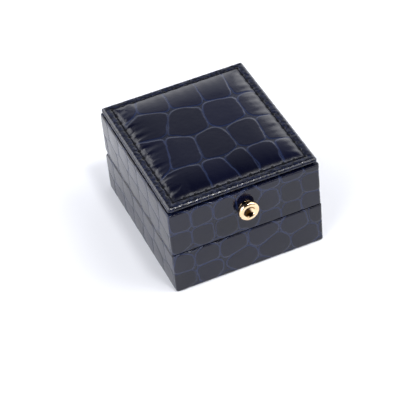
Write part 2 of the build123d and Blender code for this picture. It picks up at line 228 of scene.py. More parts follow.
back = Vector((
    math.sin(CAMERA_AZIMUTH) * math.cos(CAMERA_ELEVATION),
    -math.cos(CAMERA_AZIMUTH) * math.cos(CAMERA_ELEVATION),
    math.sin(CAMERA_ELEVATION),
))
level_right = (-back).cross(Vector((0, 0, 1))).normalized()
level_up = level_right.cross(-back)
right = math.cos(CAMERA_ROLL) * level_right + math.sin(CAMERA_ROLL) * level_up
up = -math.sin(CAMERA_ROLL) * level_right + math.cos(CAMERA_ROLL) * level_up

lens = bpy.data.cameras.new("photo camera")
lens.sensor_fit = "HORIZONTAL"
lens.sensor_width = 36.0
lens.lens = FOCAL_SHARE * lens.sensor_width
lens.clip_start, lens.clip_end = 0.01, 20.0
camera = stand("photo camera", lens)
bpy.context.scene.camera = camera
turn = Matrix((right, up, back)).transposed().to_4x4()
camera.matrix_world = Matrix.Translation(CAMERA_TARGET + back * CAMERA_DISTANCE) @ turn
print("camera stands", [round(c / MM) for c in camera.location], "mm from the box")

# %% Floor
FLOOR_HALF = 4000

floor_finish = bpy.data.materials.new("white paper sweep")
floor_finish.use_nodes = True
feed(
    floor_finish.node_tree.nodes["Principled BSDF"],
    Base_Color=swatch("#FAFBFF"), Roughness=0.9, Specular_IOR_Level=0.1,
)
floor_corners = [(x, y, 0) for x, y in ((-1, -1), (1, -1), (1, 1), (-1, 1))]
floor = new_piece("floor", np.array(floor_corners) * FLOOR_HALF, [(0, 1, 2, 3)], floor_finish)

# %% Light
SKY_STRENGTH = 1.5
SKY = [
    (0.0, "#FAFBFF"), (0.34, "#FAFBFF"), (0.5, "#C0C3CD"), (0.65, "#7A7D8A"), (0.85, "#23252C"), (1.0, "#1B1C22"),
]
FRONT_FROM, FRONT_TO, FRONT_SHARE = -0.75, -0.2, 0.08

world = bpy.data.worlds.new("studio")
bpy.context.scene.world = world
world.use_nodes = True
sky = world.node_tree
sky.nodes.clear()
way = add(sky, "SeparateXYZ", add(sky, "TexCoord").outputs["Generated"]).outputs
shade = add(sky, "ValToRGB", way["Z"], stops=SKY)
towards_rear = add(sky, "MapRange", way["Y"], FRONT_FROM, FRONT_TO, FRONT_SHARE)
lit = add(sky, "Math MULTIPLY", towards_rear, SKY_STRENGTH)
add(sky, "OutputWorld", add(sky, "Background", shade, lit))
bpy.context.scene.view_settings.view_transform = "Standard"


def softbox(name, place, aim, size, watts):
    """A square area light at a place in millimetres, turned towards a point."""
    lamp = bpy.data.lights.new(name, "AREA")
    lamp.shape = "SQUARE"
    lamp.size = size * MM
    lamp.energy = watts
    holder = stand(name, lamp)
    holder.location = Vector(place) * MM
    holder.rotation_mode = "QUATERNION"
    holder.rotation_quaternion = (Vector(place) - Vector(aim)).to_track_quat("Z", "Y")


softbox("softbox right", (520, -260, 600), (0, 0, 10), 600, 4.6)
softbox("lamp above", (80, -300, 760), (0, 0, 20), 110, 1.85)
softbox("window left", (-400, 640, 500), (0, 0, 30), 480, 2.2)
softbox("bounce left", (-760, -420, 420), (-40, 0, 10), 600, 5.8)
softbox("card right", (620, 700, 380), (0, 0, 30), 420, 0.5)

# %% [markdown]
# ## Leatherette
# The skin is polyurethane on a cloth back, printed navy, embossed with a hot plate and lacquered. The
# plate presses the grooves between the scales: ink stays blue and clear on their rounded shoulders, looks
# dark at the bottom of each groove, and the scales themselves are almost black under the gloss.
# The emboss is geometry, so the material only has to know how far a point is from the nearest groove.

# %% Leatherette finish
EDGE_LOW, EDGE_HIGH = -1.0, 2.0
PIT_INK, GROOVE_INK, SHOULDER_INK, SCALE_INK = "#101428", "#0A0D1B", "#19213B", "#0A0C1D"
# The stitch holes' colour is not ink but painted shade, near black.
BORDER_INK, BORDER_CLOUD, HOLE_SHADE_INK = "#070914", "#151B33", "#030408"
LACQUER_IOR, LACQUER_ROUGHNESS = 1.47, 0.10


def finish(name):
    """An empty material with its tree, its shader and its Object coordinates."""
    made = bpy.data.materials.new(name)
    made.use_nodes = True
    tree = made.node_tree
    return made, tree, tree.nodes["Principled BSDF"], add(tree, "TexCoord").outputs["Object"]


def stop(distance):
    """Where a distance from the groove, in millimetres, falls on the colour scale."""
    return (distance - EDGE_LOW) / (EDGE_HIGH - EDGE_LOW)


def leatherette_finish():
    """Embossed polyurethane: gloss lacquer over navy ink, the gloss a little broken in the grooves."""
    made, tree, shader, place = finish("embossed gloss leatherette")
    edge, tone, worked, hole_shade, rubbed = (
        add(tree, "Attribute", attribute_name=name).outputs["Fac"]
        for name in ("edge_mm", "scale_tone", "worked", "stitch_hole", "rubbed")
    )
    ink = add(tree, "ValToRGB", add(tree, "MapRange", edge, EDGE_LOW, EDGE_HIGH), stops=[
        (stop(-0.7), PIT_INK), (stop(-0.32), GROOVE_INK), (stop(-0.24), GROOVE_INK), (stop(-0.08), SHOULDER_INK),
        (stop(0.16), SHOULDER_INK), (stop(0.34), "#101427"), (stop(0.55), SCALE_INK),
    ])
    toned = add(tree, "VectorMath SCALE", ink, add(tree, "MapRange", tone, To_Min=0.75, To_Max=1.3))
    # Where the skin is pulled and stitched the ink breaks into small clouds.
    clouds = add(tree, "TexNoise", place, 0.9 / MM, 4.0, 0.65)
    broken = add(tree, "ValToRGB", clouds, stops=[(0.42, BORDER_INK), (0.62, BORDER_CLOUD)])
    bordered = add(tree, "Mix", data_type="RGBA")
    feed(bordered, worked, toned, broken)
    # The stitch holes are painted near black: painted shade in the holes.
    hole_shaded = add(tree, "Mix", data_type="RGBA")
    feed(hole_shaded, hole_shade, bordered, swatch(HOLE_SHADE_INK))
    # The gloss is duller in the grooves, in slow clouds, on the border and in the stitch holes. Along the seam
    # the thumb that drew the skin over its foam has rubbed it.
    groove = add(tree, "MapRange", edge, 0.4, 0.0)
    cloud = add(tree, "TexNoise", place, 0.26 / MM, 3.0)
    rough = LACQUER_ROUGHNESS
    for cause, more in ((groove, 0.12), (cloud, 0.08), (worked, 0.06), (hole_shade, 0.7), (rubbed, 0.24)):
        rough = add(tree, "Math MULTIPLY_ADD", cause, more, rough)
    grain = add(tree, "TexNoise", place, 1.4 / MM, 2.0)
    stronger = add(tree, "MapRange", worked, To_Min=0.08, To_Max=0.22)
    relief = add(tree, "Bump", stronger, 0.05 * MM, Height=grain)
    feed(shader, hole_shaded, Roughness=rough, IOR=LACQUER_IOR, Normal=relief)
    return made


leatherette = leatherette_finish()

# %% [markdown]
# ## The rule of the hide
# Crocodile scales sit in rows, each scale a rounded cell. The rule needs only the middle of each scale. A
# point belongs to the nearest middle, and its distance to the lines half way to the other middles says
# how far it is from a groove. A soft minimum of those distances rounds the corners of the cells, and goes
# below zero where three scales meet, which leaves the small pits that the real plate leaves there.
# A Geometry Nodes tree does this in a repeat zone, one turn for each scale, and presses the mesh along its
# normals, so that the same tree serves the lid, the base and the padded panel.

# %% The hide tree
def hide_tree():
    """Press crocodile scales into a mesh that holds hide_mm, its place on the flat skin, press and slack."""
    tree, given = open_tree(
        "crocodile hide", "Corner rounding", "Groove depth", "Pillow height", "Wrinkle height", "Wander",
        "Groove spread", Middles="Object", Finish="Material",
    )
    middles = add(tree, "ObjectInfo", given["Middles"]).outputs["Geometry"]
    spot = add(tree, "InputPosition")
    flat = add(tree, "InputNamedAttribute", "hide_mm", data_type="FLOAT_VECTOR")

    # Noise with repeats of about 6 mm moves the points a little, so that no groove is straight.
    cloud = add(tree, "TexNoise", flat, 0.16, 2.0).outputs["Color"]
    level = add(tree, "VectorMath SUBTRACT", cloud, (0.5, 0.5, 0.5))
    moved = add(tree, "VectorMath ADD", flat, add(tree, "VectorMath SCALE", level, given["Wander"]))
    planar = add(tree, "VectorMath MULTIPLY", moved, (1, 1, 0))
    nearest = add(tree, "SampleNearest", middles, planar)
    home = add(tree, "SampleIndex", data_type="FLOAT_VECTOR")
    feed(home, middles, spot, nearest)
    tone = add(tree, "RandomValue", ID=nearest, Seed=3)

    first, last = add(tree, "RepeatInput"), add(tree, "RepeatOutput")
    first.pair_with_output(last)
    last.repeat_items.clear()
    last.repeat_items.new("FLOAT", "Sum")
    feed(first, Iterations=add(tree, "AttributeDomainSize", middles))
    other = add(tree, "SampleIndex", data_type="FLOAT_VECTOR")
    feed(other, middles, spot, first.outputs["Iteration"])
    gap = add(tree, "VectorMath SUBTRACT", home, other)
    half_way = add(tree, "VectorMath SCALE", add(tree, "VectorMath ADD", home, other), 0.5)
    away = add(tree, "VectorMath SUBTRACT", planar, half_way)
    distance = add(tree, "VectorMath DOT_PRODUCT", away, add(tree, "VectorMath NORMALIZE", gap))
    ratio = add(tree, "Math DIVIDE", distance, given["Corner rounding"])
    power = add(tree, "Math EXPONENT", add(tree, "Math MULTIPLY", ratio, -1.0))
    apart = add(tree, "Math GREATER_THAN", add(tree, "VectorMath LENGTH", gap), 0.01)
    part = add(tree, "Math MULTIPLY", power, apart)
    feed(last, Sum=add(tree, "Math ADD", first.outputs["Sum"], part))

    log = add(tree, "Math LOGARITHM", last.outputs["Sum"], math.e)
    scaled = add(tree, "Math MULTIPLY", log, given["Corner rounding"])
    # Some grooves are pressed wider than others, so they show two edges where the narrow ones show one.
    wide = add(tree, "MapRange", add(tree, "TexNoise", flat, 0.11, 1.0), 0.5, 0.66)
    spread = add(tree, "Math MULTIPLY_ADD", wide, given["Groove spread"], scaled)
    edge = add(tree, "Math MULTIPLY", spread, -1.0)

    shoulder = add(tree, "MapRange", edge, -0.3, 0.5, -1.0, 0.0, interpolation_type="SMOOTHSTEP")
    pillow = add(tree, "MapRange", edge, 0.4, 4.0, interpolation_type="SMOOTHSTEP")
    pressed = add(tree, "Math MULTIPLY", shoulder, given["Groove depth"])
    lifted = add(tree, "Math MULTIPLY_ADD", pillow, given["Pillow height"], pressed)
    # Slack skin wrinkles, in ripples of a little over 1 mm.
    ridge = add(tree, "Math SUBTRACT", add(tree, "TexNoise", flat, 0.75, 3.0, 0.55), 0.5)
    loose = add(tree, "Math MULTIPLY", ridge, given["Wrinkle height"])
    slackened = add(tree, "Math MULTIPLY", loose, add(tree, "InputNamedAttribute", "slack"))
    rise = add(tree, "Math MULTIPLY_ADD", lifted, add(tree, "InputNamedAttribute", "press"), slackened)
    offset = add(tree, "VectorMath SCALE", add(tree, "InputNormal"), add(tree, "Math MULTIPLY", rise, MM))

    # The distances are read before the points move, so they are stored first.
    form = given["Geometry"]
    for name, value in (("edge_mm", edge), ("scale_tone", tone)):
        form = add(tree, "StoreNamedAttribute", form, Name=name, Value=value)
    return close_tree(tree, add(tree, "SetPosition", form, Offset=offset), given["Finish"])


hide = hide_tree()


def emboss(piece, middles, rounding=0.6, groove=0.12, pillow=0.05, wrinkle=0.12):
    """Press the hide's scales round these middles, in millimetres on the flat skin, into a piece."""
    marks = bpy.data.meshes.new("middles")
    marks.from_pydata([(u, v, 0) for u, v in middles], [], [])
    holder = stand("middles", marks)
    grow(
        piece, hide, Middles=holder, Corner_rounding=rounding, Groove_depth=groove, Pillow_height=pillow,
        Wrinkle_height=wrinkle, Wander=1.6, Groove_spread=0.35, Finish=leatherette,
    )
    bpy.data.objects.remove(holder)
    edges = np.zeros(len(piece.data.vertices), np.float32)
    piece.data.attributes["edge_mm"].data.foreach_get("value", edges)
    print(piece.name, len(middles), "scales,", len(edges), "points, edge from", edges.min(), "to", edges.max())


# %% [markdown]
# ## The two wrapped shells
# Each shell is board with a strip of skin glued round it: up the wall, over the rim and down inside, and at
# the other end over the edge and under. Seen in section that is one line, so the skin is a sweep: the line
# is drawn once and carried round the rounded rectangle, and its ends meet inside the wall to close it.
# Both shells are one drawing, measured up and down from the parting line. A channel along the rear rims
# takes the hinge barrel, and between the leaves' ends the skin stops at the barrel.

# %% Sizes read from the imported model
base_low, base_high = box_mm("base_wrap")
lid_low, lid_high = box_mm("lid_wrap")
pin_low, pin_high = box_mm("hinge_pin")
PARTING = (pin_low.z + pin_high.z) / 2
HINGE_Y = (pin_low.y + pin_high.y) / 2
LEAF_END = box_mm("hinge_leaf_base")[1].x
RIM_RISE = lid_low.z - PARTING
SKIN = 0.6
GROOVE_RADIUS = 1.35
WALL_PITCH = 0.26
OUTER_CORNER, INNER_CORNER, WOOD_CORNER = 0.85, 1.2, 0.25
CORNER_STEPS = 7
EDGE_ROUND = 0.4
TURN_UNDER = 8.0
BASE_WALL, BASE_TURN_IN = 4.05, 12.0
LID_WALL, LID_TURN_IN = 3.6, 4.6
EARLY_TURN, LATE_TURN = math.pi / 6, math.pi / 3
print("parting line", round(PARTING, 2), "hinge axis y", round(HINGE_Y, 2), "leaves reach x", round(LEAF_END, 2))


# %% Walking round a rounded rectangle
SIDES = [((-1, 0), (0, -1)), ((0, -1), (1, 0)), ((1, 0), (0, 1)), ((0, 1), (-1, 0))]


def walk_round(high):
    """Stations from the rear left corner round: side, place along it, turn, and run from the front middle."""
    rows, run, bend = [], 0.0, OUTER_CORNER * math.pi / 2
    for side, (_, along) in enumerate(SIDES):
        reach = (high.x if along[0] else high.y) - OUTER_CORNER
        steps = list(np.linspace(-reach, reach, int(round(2 * reach / WALL_PITCH)) + 1))
        if side == 3:
            steps = sorted({*steps, *(end + s for end in (-LEAF_END, LEAF_END) for s in (-0.01, 0.01))})
        rows += [(side, c, 0.0, run + c + reach) for c in steps]
        run += 2 * reach
        for share in np.arange(1, CORNER_STEPS) / CORNER_STEPS:
            rows.append((side, reach, share * math.pi / 2, run + share * bend))
        run += bend
    front_middle = 2 * (high.y - OUTER_CORNER) + bend + high.x - OUTER_CORNER
    return [(side, c, turned, run - front_middle) for side, c, turned, run in rows]


def ring(stations, high, inset, corner):
    """The stations' points on the outline drawn in by inset, with its own corner radius."""
    points = []
    for side, c, turned, _ in stations:
        normal, along = (Vector(v) for v in SIDES[side])
        half_n, half_a = (high.x, high.y) if normal.x else (high.y, high.x)
        outer_reach, reach = half_a - OUTER_CORNER, half_a - inset - corner
        knee = min(outer_reach, reach) - 0.2
        place = np.interp(c, (-outer_reach, -knee, knee, outer_reach), (-reach, -knee, knee, reach))
        out = half_n - inset - corner * (1 - math.cos(turned))
        points.append((normal * out + along * (place + corner * math.sin(turned)))[:])
    return np.array(points)


def channel(y, spare):
    """Height of a rim above the parting line, where the hinge channel may lift it, with spare room under it."""
    across = np.abs(y - HINGE_Y)
    return np.maximum(RIM_RISE + spare, np.sqrt(np.maximum((GROOVE_RADIUS + spare) ** 2 - across ** 2, 0)))


# %% One shell's skin
def shell_skin(name, high, sign, body_end, inner_inset, turn_in):
    """The skin of the base (sign -1) or the lid (sign 1): a closed sweep with hide_mm, press and slack."""
    stations = walk_round(high)
    run = np.array([station[3] for station in stations])
    wood_inner = inner_inset - SKIN
    insets = (0, SKIN, wood_inner, inner_inset, TURN_UNDER)
    corners = (OUTER_CORNER, WOOD_CORNER, INNER_CORNER + SKIN, INNER_CORNER, WOOD_CORNER)
    lines, press = [], []

    def line(inset, share, rise=0.0, way=0.0, end=0.0, spare=0.0):
        """A line round the shell at an inset: on the rim, or so much of the way from there to a level."""
        plan = ring(stations, high, inset, float(np.interp(inset, insets, corners)))
        rim = channel(plan[:, 1], spare) + rise
        lines.append(np.column_stack((plan, rim + (end - rim) * way)))
        press.append(share)

    rounded_off = [(EDGE_ROUND * (1 - math.cos(a)), EDGE_ROUND * math.sin(a)) for a in (EARLY_TURN, LATE_TURN)]
    for way in np.linspace(1, 0, max(3, int(round(turn_in / (0.5 if sign > 0 else 2.5)))) + 1):
        line(inner_inset, 0.25, EDGE_ROUND, way, RIM_RISE + turn_in)
    for back_off, up_by in rounded_off:
        line(inner_inset - back_off, 0.2, EDGE_ROUND - up_by)
    for inset in np.linspace(inner_inset - EDGE_ROUND, EDGE_ROUND, 8):
        line(inset, 0.2)
    for back_off, up_by in reversed(rounded_off):
        line(back_off, 0.5, EDGE_ROUND - up_by)
    wall_start, wall_end = len(lines), body_end - EDGE_ROUND
    for way in np.linspace(0, 1, int(round((wall_end - RIM_RISE - EDGE_ROUND) / WALL_PITCH)) + 1):
        line(0.0, 1.0, EDGE_ROUND, way, wall_end)
    wall = slice(wall_start, len(lines))
    for back_off, up_by in rounded_off:
        line(back_off, 0.6, 0.0, 1.0, wall_end + up_by)
    for inset in (EDGE_ROUND, 0.8, 1.3, 2.2, 4.0, TURN_UNDER):
        line(inset, 0.3 if inset < 1 else 0.0, 0.0, 1.0, body_end)
    for inset in (TURN_UNDER, SKIN):
        line(inset, 0.0, 0.0, 1.0, body_end - SKIN)
    for inset in (SKIN, wood_inner):
        line(inset, 0.0, spare=SKIN)
    line(wood_inner, 0.0, 0.0, 1.0, RIM_RISE + turn_in)

    points = np.array(lines)
    leaf = np.array([side == 3 and abs(c) < LEAF_END for side, c, _, _ in stations])
    order = [len(lines) - 2, len(lines) - 1, *range(wall_start)]
    cut = [k for k in order if (points[k][leaf][:, 1] < HINGE_Y).all()]
    for k, share in zip(cut, np.linspace(1, 0, len(cut))):
        points[k][leaf, 1] = HINGE_Y
        points[k][leaf, 2] = GROOVE_RADIUS + SKIN * share

    section = points[:, int(np.argmin(np.abs(run))), 1:]
    path = np.concatenate(([0], np.cumsum(np.linalg.norm(np.diff(section, axis=0), axis=1))))
    level = np.tile((section[wall_start, 1] + path - path[wall_start])[:, None], len(run))
    level[wall] = points[wall, :, 2]
    flat = np.stack((np.tile(run, (len(lines), 1)), PARTING + sign * level, np.zeros_like(level)), -1)
    points[:, :, 2] = PARTING + sign * points[:, :, 2]
    index = np.arange(level.size).reshape(level.shape)
    squares = np.stack([np.roll(index, shift, (0, 1)) for shift in ((0, 0), (0, -1), (-1, -1), (-1, 0))], -1)
    piece = new_piece(name, points.reshape(-1, 3), squares.reshape(-1, 4))
    point_values(piece, "hide_mm", "FLOAT_VECTOR", flat)
    point_values(piece, "press", "FLOAT", np.repeat(press, len(run)))
    point_values(piece, "slack", "FLOAT", np.repeat(press, len(run)) * 0.35)
    return piece


base_skin = shell_skin("base_leatherette", base_high, -1, PARTING - base_low.z, BASE_WALL, BASE_TURN_IN)
lid_skin = shell_skin("lid_leatherette", lid_high, 1, lid_high.z - PARTING, LID_WALL, LID_TURN_IN)

# %% [markdown]
# The front walls show the scales that the photograph shows, as middles listed one by one. Nothing is known of
# the other walls, so their rows of scales are drawn at random from a fixed seed, at the same pitch.

# %% Scales on the walls
LID_FRONT = [
    (-23, 29.5), (-15.5, 29.5), (-7.5, 29.3), (1, 29.5), (8, 25.5), (16.5, 26), (24, 27), (8.5, 35), (17, 35),
    (-23.5, 21.5), (-15.5, 21.5), (-7, 21.5), (0.5, 21.5), (8.5, 18), (16, 18.5), (23, 19), (-19, 13), (-11, 13),
    (-3, 13), (5, 11), (13, 11), (22, 12), (-19, 37), (-11, 37), (-3, 37), (25, 35),
]
BASE_FRONT = [
    (-23.5, 11.8), (-15.2, 12), (-5.8, 12.2), (5, 13.5), (17.5, 12.8), (26, 14), (-23.5, 4.5), (-14.8, 4.8),
    (-3, 5), (9.3, 5.5), (20.5, 4.5), (-19, -3), (-8, -3), (4, -3), (15, -4), (25, -3), (-20, 20), (-10, 20),
    (0, 21), (11, 21), (22, 21),
]


def wall_middles(front, high, levels, seed):
    """The front wall's given middles, and rows of others round the rest of the wall."""
    draw = random.Random(seed)
    middles = list(front)
    for level in levels:
        for side in (-1, 1):
            run = high.x + draw.uniform(3, 6)
            last = high.x + 2 * high.y + 8 + (2 * high.x if side > 0 else 0)
            while run < last:
                middles.append((side * run, level + draw.uniform(-1.3, 1.3)))
                run += draw.uniform(7.8, 11.2)
    return middles


emboss(base_skin, wall_middles(BASE_FRONT, base_high, (-3.5, 4.6, 12.6, 20.5), 5))
emboss(lid_skin, wall_middles(LID_FRONT, lid_high, (12.5, 20.8, 29.2, 37.0), 8))
for skin_piece, node_name, body in ((base_skin, "base_wrap", "base"), (lid_skin, "lid_wrap", "lid")):
    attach(skin_piece, body)
    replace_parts(skin_piece, node_name)

# %% [markdown]
# ## The padded panel
# A card is covered with foam and the same skin, and stitched round just inside its edge, so that the foam
# swells inside the stitches and the border lies flat outside them. It is a closed form: a fine grid whose
# corners are rounded by mapping each corner square to a quarter disc, with sides that turn under. On its
# left the skin was drawn less tight, so the folds along the seam are deeper there.

# %% The panel's form
panel_low, panel_high = box_mm("panel_cover")
BORDER_TOP = panel_low.z + 2.35
UNDERCUT = 1.2
SEAM_INSET = 3.0
PANEL_CORNER = 0.95
PANEL_PITCH = 0.21
PANEL_EDGE, EDGE_TURN, EDGE_SLOPE = 0.8, 0.3, 0.62
SWELL_WIDTH, SWELL_POWER = 12.0, 2.2
ROLL_HEIGHT, ROLL_WIDTH = 0.55, 1.3
STITCHES_X, STITCHES_Y = 12, 13
STITCH_REACH_X, STITCH_REACH_Y = panel_high.x - SEAM_INSET, panel_high.y - SEAM_INSET
PITCH_X, PITCH_Y = 2 * STITCH_REACH_X / STITCHES_X, 2 * STITCH_REACH_Y / STITCHES_Y
print("stitches every", round(PITCH_X, 2), "and", round(PITCH_Y, 2), "mm")


def axis_places(half):
    """Grid lines across the panel, closer together at its rounded edges."""
    rim = np.array([0.0, 0.04, 0.12, 0.24, 0.4, 0.6])
    reach = half - PANEL_EDGE
    inner = np.linspace(-reach, reach, int(round(2 * reach / PANEL_PITCH)) + 1)
    return np.concatenate((-half + rim, inner, half - rim[::-1]))


def to_rounded(x, y, half_x, half_y, radius):
    """Move a rectangle's corner squares onto quarter discs."""
    p = np.clip((np.abs(x) - (half_x - radius)) / radius, 0, 1)
    q = np.clip((np.abs(y) - (half_y - radius)) / radius, 0, 1)
    move_x = radius * p * (np.sqrt(1 - q ** 2 / 2) - 1)
    move_y = radius * q * (np.sqrt(1 - p ** 2 / 2) - 1)
    return x + np.sign(x) * move_x, y + np.sign(y) * move_y


def smooth_step(value, low, high):
    """0 below low, 1 above high, eased between."""
    t = np.clip((value - low) / (high - low), 0, 1)
    return t * t * (3 - 2 * t)


def less_tight(x):
    """How much less tight the skin is, from 0 to 1 towards the panel's left."""
    return smooth_step(-x, 10, 22)


def seam_phase(x, y):
    """Signed distance inside the seam, and how near a point is to a stitch hole, from 0 to 1."""
    inside_x, inside_y = STITCH_REACH_X - np.abs(x), STITCH_REACH_Y - np.abs(y)
    wave_x = 0.5 + 0.5 * np.cos(2 * math.pi * (x + STITCH_REACH_X) / PITCH_X)
    wave_y = 0.5 + 0.5 * np.cos(2 * math.pi * (y + STITCH_REACH_Y) / PITCH_Y)
    blend = smooth_step(inside_y - inside_x, -1.2, 1.2)
    return np.minimum(inside_x, inside_y), wave_x * (1 - blend) + wave_y * blend


def panel_height(x, y, edge):
    """Height of the skin over the panel at a place, edge being its distance from the panel's outline."""
    inside, near = seam_phase(x, y)
    inwards = np.maximum(inside, 0)
    inside_x, inside_y = STITCH_REACH_X - np.abs(x), STITCH_REACH_Y - np.abs(y)
    corner_x, corner_y = (np.clip(far / SWELL_WIDTH, 0, 1) for far in (inside_x, inside_y))
    rise = (1 - (1 - corner_x) ** SWELL_POWER) * (1 - (1 - corner_y) ** SWELL_POWER)
    # Along the seam the foam's roll is gathered in uneven folds, and every hole pulls a pucker and a tuck.
    along = np.where(inside_x < inside_y, y, x)
    left = less_tight(x)
    wander = np.sin(along * 0.83 + 1.0) * np.sin(along * 0.29 + 0.6)
    gathered = np.maximum(1 + (0.25 + 0.75 * left) * wander + (0.12 + 0.2 * left) * np.sin(along * 1.9), 0.4)
    roll = 1 - np.exp(-inwards / (ROLL_WIDTH * gathered))
    swell = (panel_high.z - BORDER_TOP - 0.05 - ROLL_HEIGHT) * rise + ROLL_HEIGHT * roll
    tuck = -(0.05 + 0.4 * near ** 4) * np.exp(-(inside / 0.42) ** 2)
    pull = (0.03 + 0.12 * left) * (1 + 0.8 * np.sin(along * 0.55 + 2.0) * left)
    pucker = -pull * near ** 2 * np.exp(-inwards / 1.3) * smooth_step(inside, 0, 0.4)
    # Outside the seam the border is faintly crowned, slopes to its edge and turns round it.
    border = 0.08 * np.sin(math.pi * np.clip(edge / SEAM_INSET, 0, 1)) * (inside < 0)
    curl = -EDGE_SLOPE * np.clip(PANEL_EDGE - edge, 0, PANEL_EDGE - EDGE_TURN)
    reach = EDGE_TURN / (1 - math.sin(math.atan(EDGE_SLOPE)))
    across = np.clip(reach - edge, reach - EDGE_TURN, reach)
    start = math.sqrt(reach ** 2 - (reach - EDGE_TURN) ** 2)
    curl = curl + np.sqrt(np.maximum(reach ** 2 - across ** 2, 0)) - start
    return BORDER_TOP + swell + tuck + pucker + border + curl


def panel_form():
    """The closed panel with the values that the hide and the finish read."""
    halves = np.array([panel_high.x, panel_high.y])
    grid_x, grid_y = np.meshgrid(*map(axis_places, halves), indexing="ij")
    edge = np.minimum(halves[0] - np.abs(grid_x), halves[1] - np.abs(grid_y))
    inside, near = seam_phase(grid_x, grid_y)
    level = panel_height(grid_x, grid_y, edge)
    top = np.stack((*to_rounded(grid_x, grid_y, *halves, PANEL_CORNER), level), -1).reshape(-1, 3)
    flat = np.stack((grid_x, grid_y, np.zeros_like(grid_x)), -1).reshape(-1, 3)
    slack = 0.1 + (0.25 + 1.6 * less_tight(grid_x)) * np.exp(-np.maximum(inside, 0) / 1.5)
    values = {
        "press": smooth_step(inside, 0.0, 1.5),
        "slack": np.where(inside < 0, 0.9 * smooth_step(edge, 0.0, 0.8) + 0.35, slack),
        "worked": 1 - smooth_step(inside, 0.1, 0.7),
        # Near each stitch hole the colour is painted near black, as the shade in the hole.
        "stitch_hole": smooth_step(near ** 4 * np.exp(-(inside / 0.6) ** 2), 0.2, 0.6),
        "rubbed": np.exp(-((inside - 0.5) / 0.9) ** 2),
    }
    parts = {name: [found.ravel()] for name, found in values.items()}

    # The sides: lines below the rim, straight down to the waist and drawn in under it.
    index = np.arange(grid_x.size).reshape(grid_x.shape)
    faces = np.stack((index[:-1, :-1], index[1:, :-1], index[1:, 1:], index[:-1, 1:]), -1).reshape(-1, 4).tolist()
    above = loop = np.concatenate((index[:, 0], index[-1, 1:], index[-2::-1, -1], index[0, -2:0:-1]))
    points, flats = [top], [flat]
    rim, count = top[loop, :2], len(loop)
    outward = rim / halves
    outward /= np.linalg.norm(outward, axis=1)[:, None]
    waist = panel_low.z + UNDERCUT
    levels = [*np.linspace(BORDER_TOP - PANEL_EDGE - 0.12, waist, 2), *np.linspace(waist - 0.15, panel_low.z, 7)]
    for k, level in enumerate(levels):
        inset = max(0.0, waist - level)
        points.append(np.column_stack((rim * (1 - inset / halves), np.full(count, level))))
        flats.append(flat[loop] + np.column_stack((outward * (BORDER_TOP - level), np.zeros(count))))
        sides = {"slack": 0.35 if level > waist - 0.4 else 0.0, "worked": 1.0}
        for name, found in parts.items():
            found.append(np.full(count, sides.get(name, 0.0)))
        below = index.size + k * count + np.arange(count)
        faces += np.stack((above, np.roll(above, -1), np.roll(below, -1), below), -1).tolist()
        above = below
    faces.append(above.tolist())
    piece = new_piece("panel_leatherette", np.concatenate(points), faces)
    point_values(piece, "hide_mm", "FLOAT_VECTOR", np.concatenate(flats))
    for name, found in parts.items():
        point_values(piece, name, "FLOAT", np.concatenate(found))
    return piece


panel = panel_form()

# %% Scales on the panel
PANEL_SCALES = [
    (-21, 24), (-11, 21.2), (0, 20.3), (11.6, 19.4), (20.5, 18.5), (-14.9, 12.1), (-4.4, 7.4), (9.1, 5.8),
    (21.5, 4.9), (-20.2, -4.7), (-11.9, -7), (-0.2, -8.5), (11.6, -8.3), (21, -9.2), (-14.7, -21.5),
    (-3.6, -22.3), (3.6, -21), (11.6, -21), (21.5, -22),
]

emboss(panel, PANEL_SCALES, rounding=0.8, groove=0.1, pillow=0.03, wrinkle=0.26)
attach(panel, "lid")
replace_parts(panel, "panel_cover", "panel_foam")

# %% [markdown]
# ## The stitches
# A lockstitch in waxed navy thread: each stitch dives into a hole at both ends and shows two twisted strands
# between. It repeats along a path, so it is made by Geometry Nodes: one stitch is swept along a short line,
# and a copy stands at each middle between two holes.

# %% Thread finish
def thread_finish():
    """Waxed polyester thread: navy, its strands seen as slanting lines, soft gloss."""
    made, tree, shader, place = finish("waxed navy thread")
    strands = add(tree, "TexWave", place, 0.9 / MM, 1.5, 2.0).outputs["Fac"]
    base_tint = add(tree, "ValToRGB", strands, stops=[(0.2, "#020308"), (0.8, "#0B0E1E")])
    relief = add(tree, "Bump", 0.4, 0.05 * MM, Height=strands)
    feed(shader, base_tint, Roughness=0.8, Specular_IOR_Level=0.2, Normal=relief)
    return made


thread = thread_finish()

# %% The stitch tree
THREAD_RADIUS = 0.14
STITCH_LENGTH = 3.3


def stitch_tree():
    """A stitch of two twisted strands on every point of a path, turned along the point's run."""
    tree, given = open_tree("row of stitches", "Stitch length", "Thread radius", "Twists", Finish="Material")
    steps = add(tree, "ResampleCurve", add(tree, "CurvePrimitiveLine", (-0.5, 0, 0), (0.5, 0, 0)), Count=15)
    share = add(tree, "SplineParameter")
    turns = add(tree, "Math MULTIPLY", given["Twists"], 2 * math.pi)
    centred = add(tree, "Math SUBTRACT", share, 0.5)
    along = add(tree, "Math MULTIPLY", centred, given["Stitch length"])
    near_end = add(tree, "Math ABSOLUTE", centred)
    dive = add(tree, "MapRange", near_end, 0.3, 0.5, 0.0, -2.6, interpolation_type="SMOOTHSTEP")
    section = add(tree, "CurvePrimitiveCircle", 6, Radius=given["Thread radius"])
    pair = add(tree, "JoinGeometry")
    for start in (0.0, math.pi):
        angle = add(tree, "Math MULTIPLY_ADD", share, turns, start)
        height = add(tree, "Math ADD", add(tree, "Math SINE", angle), dive)
        out, up = (
            add(tree, "Math MULTIPLY", way, given["Thread radius"])
            for way in (add(tree, "Math COSINE", angle), height)
        )
        bent = add(tree, "SetPosition", steps, Position=add(tree, "CombineXYZ", along, out, up))
        feed(pair, add(tree, "CurveToMesh", bent, section, Fill_Caps=True))
    turn = add(tree, "InputNamedAttribute", "turn", data_type="FLOAT_VECTOR")
    placed = add(tree, "InstanceOnPoints", given["Geometry"], Instance=pair, Rotation=turn)
    return close_tree(tree, placed, given["Finish"])


